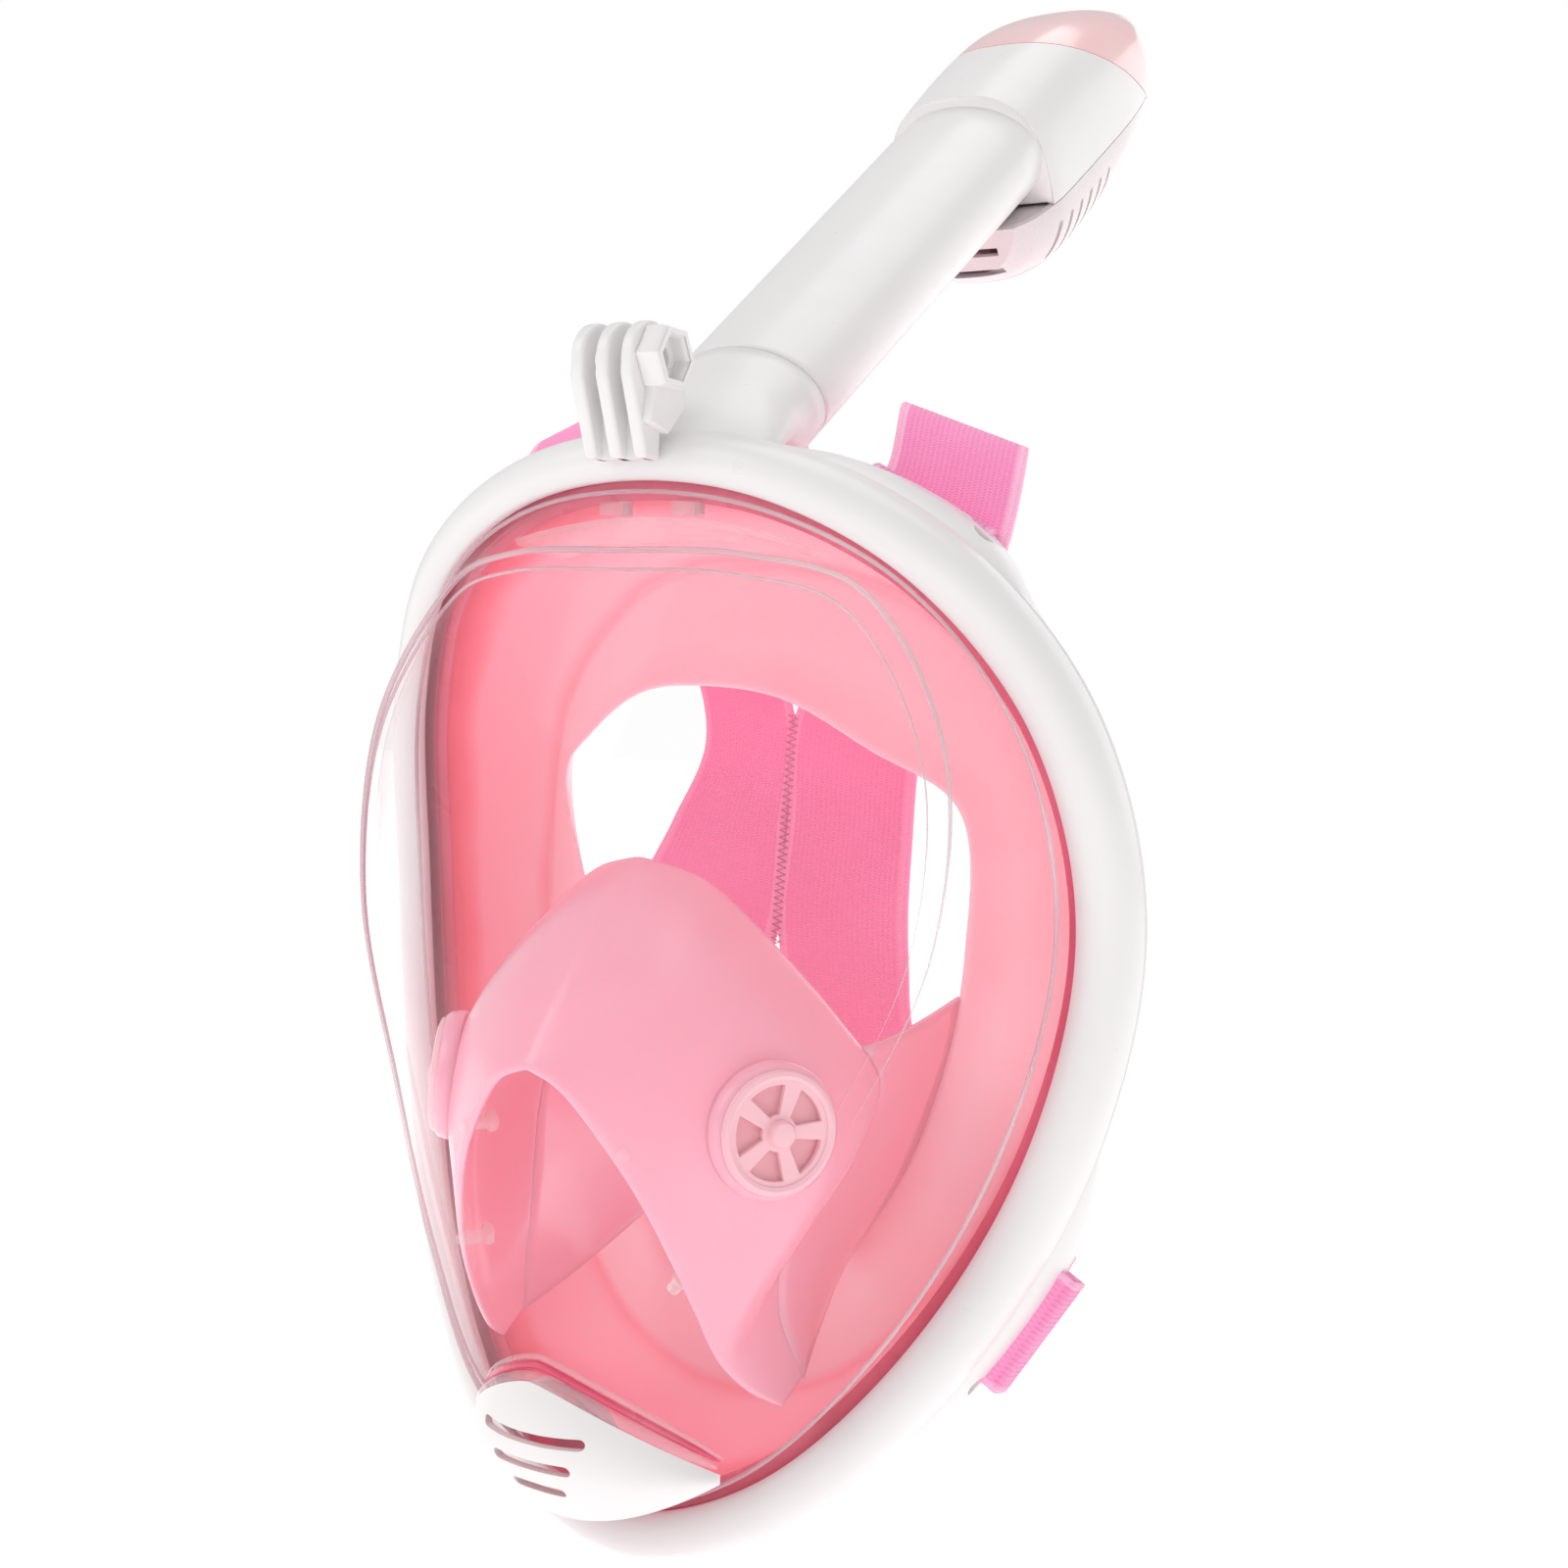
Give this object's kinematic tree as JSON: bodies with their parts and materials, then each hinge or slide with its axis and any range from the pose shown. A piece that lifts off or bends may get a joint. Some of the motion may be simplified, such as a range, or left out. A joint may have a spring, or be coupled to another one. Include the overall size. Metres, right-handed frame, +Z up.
{
  "type": "full face snorkel mask",
  "caption": "Full face snorkel mask with a bowed clear lens, silicone skirt and breathing pocket, folding snorkel with a float valve head, camera mount and strap harness.",
  "frame": {"origin": "inside the mask, on the mirror plane, in the middle of the lens opening", "axes": "+Z up the mask towards the snorkel, -Y out of the lens, +Y towards the wearer, +X to the right of someone who faces the lens"},
  "size_m": [0.1938, 0.2717, 0.3934],
  "materials": {
    "white": "gloss moulded ABS",
    "clear": "clear polycarbonate",
    "rim": "satin silicone",
    "skirt": "satin translucent silicone",
    "pocket": "satin milky silicone",
    "pale": "gloss",
    "flap": "satin clear silicone",
    "cap": "gloss translucent",
    "strap": "woven elastic",
    "thread": "matt sewing thread",
    "steel": "brushed"
  },
  "bodies": {
    "mask": {"front_frame": "white", "rear_frame": "white", "camera_mount": "white", "snorkel_socket": "white", "chin_valve_cover": "white", "lens": "clear", "pocket_peg_upper_right": "clear", "pocket_peg_upper_left": "clear", "pocket_peg_lower_right": "clear", "pocket_peg_lower_left": "clear", "duct_plate": "clear", "duct_clip_right": "clear", "duct_clip_left": "clear", "lens_gasket": "rim", "socket_seal": "rim", "skirt": "skirt", "orinasal_pocket": "pocket", "inhale_valve_seat_right": "pale", "inhale_valve_seat_left": "pale", "chin_valve_seat": "pale", "strap_right": "strap", "strap_left": "strap", "strap_loop_upper_right": "strap", "strap_loop_upper_left": "strap", "strap_loop_lower_right": "strap", "strap_loop_lower_left": "strap", "strap_seam": "thread", "fold_hinge_pin": "steel"},
    "snorkel": {"snorkel_tube": "white", "head_cover": "white", "head_cap": "cap", "valve_housing": "white", "port_plate": "pale", "float_guide_post": "pale", "head_divider": "white", "tube_divider": "white", "exhale_valve_seat": "pale"},
    "float": {"float": "pale", "float_seal": "rim"},
    "inhale_flap_right": {"inhale_flap_right": "flap"},
    "inhale_flap_left": {"inhale_flap_left": "flap"},
    "chin_flap": {"chin_flap": "rim"},
    "exhale_flap": {"exhale_flap": "rim"}
  },
  "joints": [
    {"name": "snorkel_fold", "type": "hinge", "parent": "mask", "child": "snorkel", "pos_m": [0, 0.03497, 0.10693], "axis": [-1, 0, 0], "range_deg": [0, 80]},
    {"name": "float_rise", "type": "slide", "parent": "snorkel", "child": "float", "axis": [0, 0.8028, 0.5962], "range_m": [0, 0.007]},
    {"name": "inhale_flap_right_open", "type": "slide", "parent": "mask", "child": "inhale_flap_right", "axis": [-0.8424, 0.5366, -0.05], "range_m": [0, 0.0012], "stiffness_N_per_m": 20, "springref_m": -0.0006},
    {"name": "inhale_flap_left_open", "type": "slide", "parent": "mask", "child": "inhale_flap_left", "axis": [0.8424, 0.5366, -0.05], "range_m": [0, 0.0012], "stiffness_N_per_m": 20, "springref_m": -0.0006},
    {"name": "chin_flap_open", "type": "slide", "parent": "mask", "child": "chin_flap", "axis": [0, -0.9477, -0.3192], "range_m": [0, 0.0012], "stiffness_N_per_m": 20, "springref_m": -0.0006},
    {"name": "exhale_flap_open", "type": "slide", "parent": "snorkel", "child": "exhale_flap", "axis": [0, 0.8028, 0.5962], "range_m": [0, 0.0012], "stiffness_N_per_m": 20, "springref_m": -0.0006}
  ]
}
